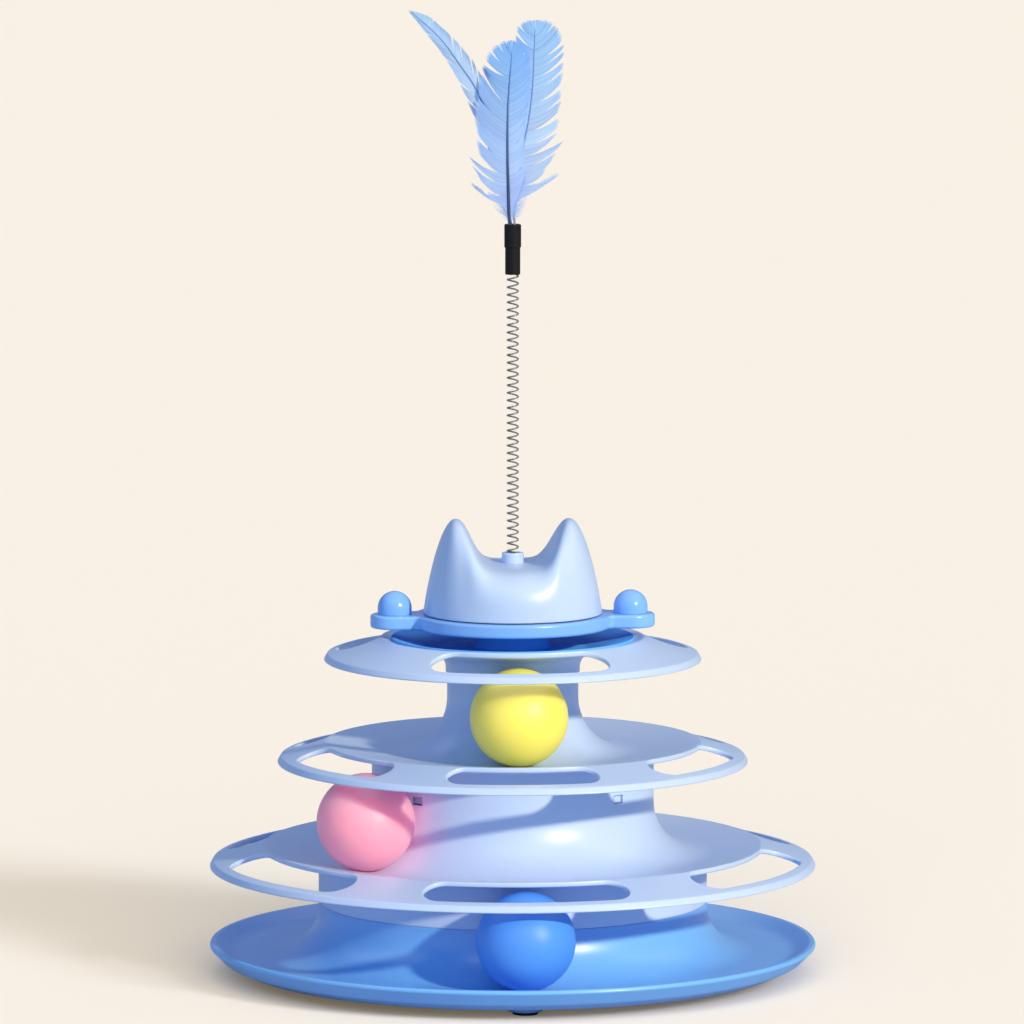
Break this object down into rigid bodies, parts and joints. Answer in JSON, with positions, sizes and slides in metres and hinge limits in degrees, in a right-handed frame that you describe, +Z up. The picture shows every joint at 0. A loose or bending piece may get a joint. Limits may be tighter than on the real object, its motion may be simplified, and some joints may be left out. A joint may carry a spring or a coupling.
{
  "type": "cat ball track toy",
  "caption": "Round tower of stacked ball tracks with slotted decks, a spinning bar with knobs, a cat-head cap and a feather teaser on a spring.",
  "frame": {"origin": "on the tower's axis, at the floor under the foot pads", "axes": "+Z up along the tower's axis, -Y to the front, where a slot and a foot are"},
  "size_m": [0.2496, 0.2496, 0.3976],
  "materials": {
    "blue_plastic": "moulded, satin",
    "pale_plastic": "moulded, satin",
    "foot_rubber": "matt",
    "black_rubber": "matt",
    "steel": "drawn wire",
    "feather": "dyed feather",
    "ball_blue": "matt",
    "ball_pink": "matt",
    "ball_yellow": "matt"
  },
  "bodies": {
    "tower": {"base_tray": "blue_plastic", "foot_pad_front": "foot_rubber", "foot_pad_right": "foot_rubber", "foot_pad_back": "foot_rubber", "foot_pad_left": "foot_rubber", "lower_track": "pale_plastic", "middle_track": "pale_plastic", "top_plate": "pale_plastic", "spindle": "blue_plastic", "cat_head": "pale_plastic", "screw_washer": "steel", "head_screw": "steel", "spring_plug": "pale_plastic"},
    "spinner": {"spinner_arm": "blue_plastic", "knob_left": "blue_plastic", "knob_right": "blue_plastic"},
    "ball_low": {"ball_blue": "ball_blue"},
    "ball_mid": {"ball_pink": "ball_pink"},
    "ball_high": {"ball_yellow": "ball_yellow"},
    "wand": {"spring": "steel"},
    "teaser": {"spring_sleeve": "black_rubber", "feather_cap": "black_rubber", "feather_left": "feather", "feather_centre": "feather", "feather_right": "feather"}
  },
  "joints": [
    {"name": "arm_spin", "type": "hinge", "parent": "tower", "child": "spinner", "pos_m": [0, 0, 0.1469], "axis": [0, 0, 1], "continuous": true},
    {"name": "blue_run", "type": "hinge", "parent": "tower", "child": "ball_low", "pos_m": [0, 0, 0.03], "axis": [0, 0, 1], "continuous": true},
    {"name": "pink_run", "type": "hinge", "parent": "tower", "child": "ball_mid", "pos_m": [0, 0, 0.0709], "axis": [0, 0, 1], "continuous": true},
    {"name": "yellow_run", "type": "hinge", "parent": "tower", "child": "ball_high", "pos_m": [0, 0, 0.1132], "axis": [0, 0, 1], "continuous": true},
    {"name": "sway_side", "type": "hinge", "parent": "tower", "child": "wand", "pos_m": [0, 0, 0.204], "axis": [0, 1, 0], "range_deg": [-40, 40], "stiffness_Nm_per_rad": 0.06, "deforming": ["spring"]},
    {"name": "sway_front", "type": "hinge", "parent": "wand", "child": "teaser", "pos_m": [0, 0, 0.261], "axis": [1, 0, 0], "range_deg": [-40, 40], "stiffness_Nm_per_rad": 0.04, "deforming": ["spring"]}
  ]
}
